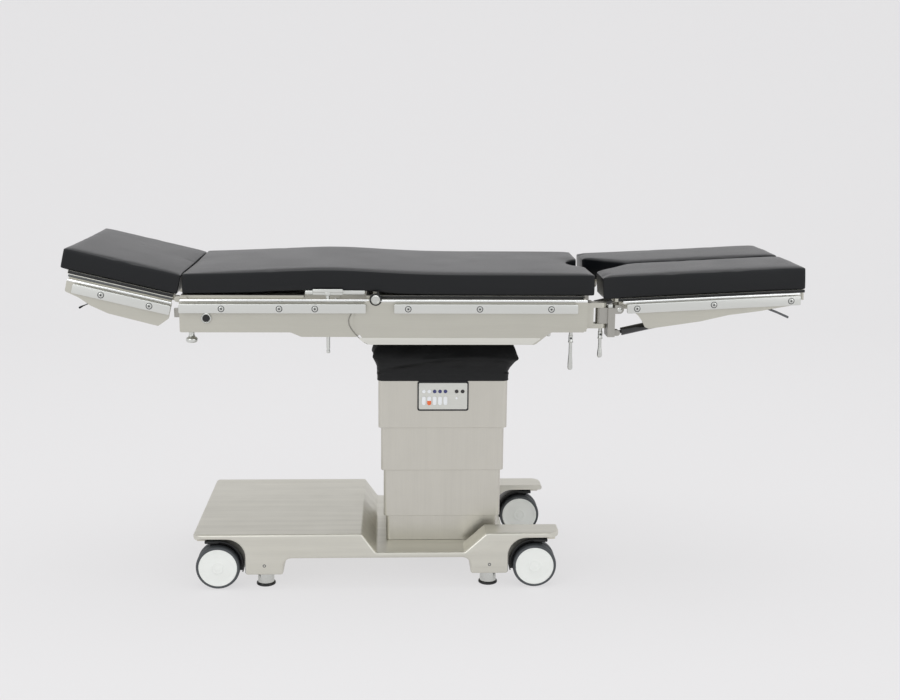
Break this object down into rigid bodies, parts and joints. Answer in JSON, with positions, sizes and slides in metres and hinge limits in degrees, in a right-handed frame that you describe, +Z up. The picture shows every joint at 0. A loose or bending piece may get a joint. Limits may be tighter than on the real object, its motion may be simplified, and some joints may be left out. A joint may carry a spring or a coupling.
{
  "type": "electro-hydraulic operating table",
  "caption": "Electro-hydraulic operating table with a telescoping column on a low castor base, a long black mattress with a kidney bridge, side rails and splaying leg sections.",
  "frame": {"origin": "centre of the whole footprint, on the floor", "axes": "+X towards the leg end, -Y the side with the control panel, +Z up"},
  "size_m": [2.026, 0.6, 0.9633],
  "materials": {
    "brushed_steel": "satin",
    "pale_steel": "satin",
    "dark_metal": "satin",
    "cast_iron": "matte",
    "cushion_cover": "satin",
    "boot_cloth": "matte",
    "black_plastic": "satin",
    "white_plastic": "gloss"
  },
  "bodies": {
    "root": {"base_frame": "cast_iron", "base_cover": "brushed_steel", "power_unit": "dark_metal", "column_foot_cover": "brushed_steel", "lift_cylinder": "dark_metal"},
    "castor_head_near": {"castor_housing_head_near": "black_plastic"},
    "wheel_head_near": {"castor_wheel_head_near": "white_plastic"},
    "castor_leg_near": {"castor_housing_leg_near": "black_plastic"},
    "wheel_leg_near": {"castor_wheel_leg_near": "white_plastic"},
    "castor_head_far": {"castor_housing_head_far": "black_plastic"},
    "wheel_head_far": {"castor_wheel_head_far": "white_plastic"},
    "castor_leg_far": {"castor_housing_leg_far": "black_plastic"},
    "wheel_leg_far": {"castor_wheel_leg_far": "white_plastic"},
    "foot_head_near": {"brake_foot_head_near": "pale_steel"},
    "foot_leg_near": {"brake_foot_leg_near": "pale_steel"},
    "foot_head_far": {"brake_foot_head_far": "pale_steel"},
    "foot_leg_far": {"brake_foot_leg_far": "pale_steel"},
    "upper_column": {"upper_column_cover": "brushed_steel", "lift_ram": "dark_metal", "control_panel": "black_plastic", "column_boot": "boot_cloth"},
    "middle_column": {"middle_column_cover": "brushed_steel"},
    "lower_column": {"lower_column_cover": "brushed_steel"},
    "tilt_cross": {"tilt_cross": "dark_metal"},
    "carriage": {"table_carriage": "dark_metal"},
    "seat": {"seat_frame": "brushed_steel", "seat_rail_near": "pale_steel", "seat_rail_far": "pale_steel", "seat_cushion": "cushion_cover"},
    "back": {"back_frame": "brushed_steel", "back_rail_near": "pale_steel", "back_rail_far": "pale_steel", "back_cushion": "cushion_cover", "lumbar_cushion": "cushion_cover"},
    "head": {"head_frame": "brushed_steel", "head_rail_near": "pale_steel", "head_rail_far": "pale_steel", "head_cushion": "cushion_cover", "head_cushion_end": "cushion_cover"},
    "kidney": {"kidney_bridge": "pale_steel"},
    "head_knob": {"head_clamp_knob": "black_plastic"},
    "head_lever": {"head_release_lever": "pale_steel"},
    "leg_mount_near": {"leg_bracket_near": "pale_steel"},
    "leg_near": {"leg_frame_near": "brushed_steel", "leg_rail_near": "pale_steel", "leg_cushion_near": "cushion_cover"},
    "strut_body_near": {"gas_strut_body_near": "black_plastic"},
    "strut_rod_near": {"gas_strut_rod_near": "pale_steel"},
    "seat_screw_near": {"seat_clamp_screw_near": "pale_steel"},
    "leg_screw_near": {"leg_clamp_screw_near": "pale_steel"},
    "leg_lever_near": {"leg_release_lever_near": "pale_steel"},
    "leg_mount_far": {"leg_bracket_far": "pale_steel"},
    "leg_far": {"leg_frame_far": "brushed_steel", "leg_rail_far": "pale_steel", "leg_cushion_far": "cushion_cover"},
    "strut_body_far": {"gas_strut_body_far": "black_plastic"},
    "strut_rod_far": {"gas_strut_rod_far": "pale_steel"},
    "seat_screw_far": {"seat_clamp_screw_far": "pale_steel"},
    "leg_screw_far": {"leg_clamp_screw_far": "pale_steel"},
    "leg_lever_far": {"leg_release_lever_far": "pale_steel"}
  },
  "joints": [
    {"name": "castor_swivel_head_near", "type": "hinge", "parent": "root", "child": "castor_head_near", "pos_m": [-0.63792, -0.228, 0.0635], "axis": [0, 0, 1], "continuous": true},
    {"name": "wheel_spin_head_near", "type": "hinge", "parent": "castor_head_near", "child": "wheel_head_near", "pos_m": [-0.62092, -0.228, 0.0635], "axis": [0, 1, 0], "continuous": true},
    {"name": "castor_swivel_leg_near", "type": "hinge", "parent": "root", "child": "castor_leg_near", "pos_m": [0.29508, -0.228, 0.0635], "axis": [0, 0, 1], "continuous": true},
    {"name": "wheel_spin_leg_near", "type": "hinge", "parent": "castor_leg_near", "child": "wheel_leg_near", "pos_m": [0.27808, -0.228, 0.0635], "axis": [0, 1, 0], "continuous": true},
    {"name": "castor_swivel_head_far", "type": "hinge", "parent": "root", "child": "castor_head_far", "pos_m": [-0.63792, 0.228, 0.0635], "axis": [0, 0, 1], "continuous": true},
    {"name": "wheel_spin_head_far", "type": "hinge", "parent": "castor_head_far", "child": "wheel_head_far", "pos_m": [-0.62092, 0.228, 0.0635], "axis": [0, 1, 0], "continuous": true},
    {"name": "castor_swivel_leg_far", "type": "hinge", "parent": "root", "child": "castor_leg_far", "pos_m": [0.29508, 0.228, 0.0635], "axis": [0, 0, 1], "continuous": true},
    {"name": "wheel_spin_leg_far", "type": "hinge", "parent": "castor_leg_far", "child": "wheel_leg_far", "pos_m": [0.27808, 0.228, 0.0635], "axis": [0, 1, 0], "continuous": true},
    {"name": "foot_slide_head_near", "type": "slide", "parent": "root", "child": "foot_head_near", "axis": [0, 0, 1], "range_m": [0, 0.02]},
    {"name": "foot_slide_leg_near", "type": "slide", "parent": "root", "child": "foot_leg_near", "axis": [0, 0, 1], "range_m": [0, 0.02]},
    {"name": "foot_slide_head_far", "type": "slide", "parent": "root", "child": "foot_head_far", "axis": [0, 0, 1], "range_m": [0, 0.02]},
    {"name": "foot_slide_leg_far", "type": "slide", "parent": "root", "child": "foot_leg_far", "axis": [0, 0, 1], "range_m": [0, 0.02]},
    {"name": "lift", "type": "slide", "parent": "root", "child": "upper_column", "axis": [0, 0, 1], "range_m": [-0.15, 0.15]},
    {"name": "middle_cover_slide", "type": "slide", "parent": "root", "child": "middle_column", "axis": [0, 0, 1], "range_m": [-0.1, 0.1]},
    {"name": "lower_cover_slide", "type": "slide", "parent": "root", "child": "lower_column", "axis": [0, 0, 1], "range_m": [-0.05, 0.05]},
    {"name": "lateral_tilt", "type": "hinge", "parent": "upper_column", "child": "tilt_cross", "pos_m": [0.01508, 0, 0.675], "axis": [1, 0, 0], "range_deg": [-20, 20], "deforming": ["column_boot"]},
    {"name": "trendelenburg_tilt", "type": "hinge", "parent": "tilt_cross", "child": "carriage", "pos_m": [0.01508, 0, 0.675], "axis": [0, -1, 0], "range_deg": [-25, 25], "deforming": ["column_boot"]},
    {"name": "top_slide", "type": "slide", "parent": "carriage", "child": "seat", "axis": [1, 0, 0], "range_m": [-0.15, 0.15]},
    {"name": "back_tilt", "type": "hinge", "parent": "seat", "child": "back", "pos_m": [-0.17362, 0, 0.8365], "axis": [0, 1, 0], "range_deg": [-20, 75], "deforming": ["lumbar_cushion"]},
    {"name": "head_tilt", "type": "hinge", "parent": "back", "child": "head", "pos_m": [-0.70972, 0, 0.834], "axis": [0, -1, 0], "range_deg": [-16, 38], "deforming": ["head_cushion_end"]},
    {"name": "kidney_lift", "type": "slide", "parent": "back", "child": "kidney", "axis": [0, 0, -1], "range_m": [-0.1, 0.018], "deforming": ["lumbar_cushion"]},
    {"name": "head_knob_turn", "type": "hinge", "parent": "back", "child": "head_knob", "pos_m": [-0.67692, -0.24, 0.72], "axis": [0, 0, 1], "range_deg": [0, 300]},
    {"name": "head_lever_pull", "type": "hinge", "parent": "head", "child": "head_lever", "pos_m": [-0.9352, -0.262, 0.82731], "axis": [0, 1, 0], "range_deg": [0, 20], "stiffness_Nm_per_rad": 1.5},
    {"name": "leg_splay_near", "type": "hinge", "parent": "seat", "child": "leg_mount_near", "pos_m": [0.44608, -0.25, 0.79], "axis": [0, 0, -1], "range_deg": [0, 90]},
    {"name": "leg_tilt_near", "type": "hinge", "parent": "leg_mount_near", "child": "leg_near", "pos_m": [0.49468, -0.242, 0.808], "axis": [0, 1, 0], "range_deg": [-12, 90]},
    {"name": "strut_swing_near", "type": "hinge", "parent": "leg_mount_near", "child": "strut_body_near", "pos_m": [0.49368, -0.24, 0.739], "axis": [0, 1, 0], "range_deg": [-15, 110]},
    {"name": "strut_slide_near", "type": "slide", "parent": "strut_body_near", "child": "strut_rod_near", "axis": [0.9755, 0, 0.2198], "range_m": [-0.076, 0.011]},
    {"name": "seat_screw_turn_near", "type": "hinge", "parent": "seat", "child": "seat_screw_near", "pos_m": [0.36458, -0.25, 0.735], "axis": [0, 0, 1], "range_deg": [0, 300]},
    {"name": "leg_screw_turn_near", "type": "hinge", "parent": "seat", "child": "leg_screw_near", "pos_m": [0.44608, -0.25, 0.746], "axis": [0, 0, 1], "range_deg": [0, 300]},
    {"name": "leg_lever_pull_near", "type": "hinge", "parent": "leg_near", "child": "leg_lever_near", "pos_m": [0.89697, -0.238, 0.81306], "axis": [0, -1, 0], "range_deg": [0, 15], "stiffness_Nm_per_rad": 1.5},
    {"name": "leg_splay_far", "type": "hinge", "parent": "seat", "child": "leg_mount_far", "pos_m": [0.44608, 0.25, 0.79], "axis": [0, 0, 1], "range_deg": [0, 90]},
    {"name": "leg_tilt_far", "type": "hinge", "parent": "leg_mount_far", "child": "leg_far", "pos_m": [0.49468, 0.242, 0.808], "axis": [0, 1, 0], "range_deg": [-12, 90]},
    {"name": "strut_swing_far", "type": "hinge", "parent": "leg_mount_far", "child": "strut_body_far", "pos_m": [0.49368, 0.24, 0.739], "axis": [0, 1, 0], "range_deg": [-15, 110]},
    {"name": "strut_slide_far", "type": "slide", "parent": "strut_body_far", "child": "strut_rod_far", "axis": [0.9755, 0, 0.2198], "range_m": [-0.076, 0.011]},
    {"name": "seat_screw_turn_far", "type": "hinge", "parent": "seat", "child": "seat_screw_far", "pos_m": [0.36458, 0.25, 0.735], "axis": [0, 0, 1], "range_deg": [0, 300]},
    {"name": "leg_screw_turn_far", "type": "hinge", "parent": "seat", "child": "leg_screw_far", "pos_m": [0.44608, 0.25, 0.746], "axis": [0, 0, 1], "range_deg": [0, 300]},
    {"name": "leg_lever_pull_far", "type": "hinge", "parent": "leg_far", "child": "leg_lever_far", "pos_m": [0.89697, 0.238, 0.81306], "axis": [0, -1, 0], "range_deg": [0, 15], "stiffness_Nm_per_rad": 1.5}
  ],
  "couplings": [
    {"joint": "foot_slide_leg_near", "follows": "foot_slide_head_near", "ratio": 1},
    {"joint": "foot_slide_head_far", "follows": "foot_slide_head_near", "ratio": 1},
    {"joint": "foot_slide_leg_far", "follows": "foot_slide_head_near", "ratio": 1},
    {"joint": "middle_cover_slide", "follows": "lift", "ratio": 0.66667},
    {"joint": "lower_cover_slide", "follows": "lift", "ratio": 0.33333},
    {"joint": "strut_swing_near", "follows": "leg_tilt_near", "ratio": 1.212},
    {"joint": "strut_slide_near", "follows": "leg_tilt_near", "m_per_rad": -0.0475},
    {"joint": "strut_swing_far", "follows": "leg_tilt_far", "ratio": 1.212},
    {"joint": "strut_slide_far", "follows": "leg_tilt_far", "m_per_rad": -0.0475}
  ]
}
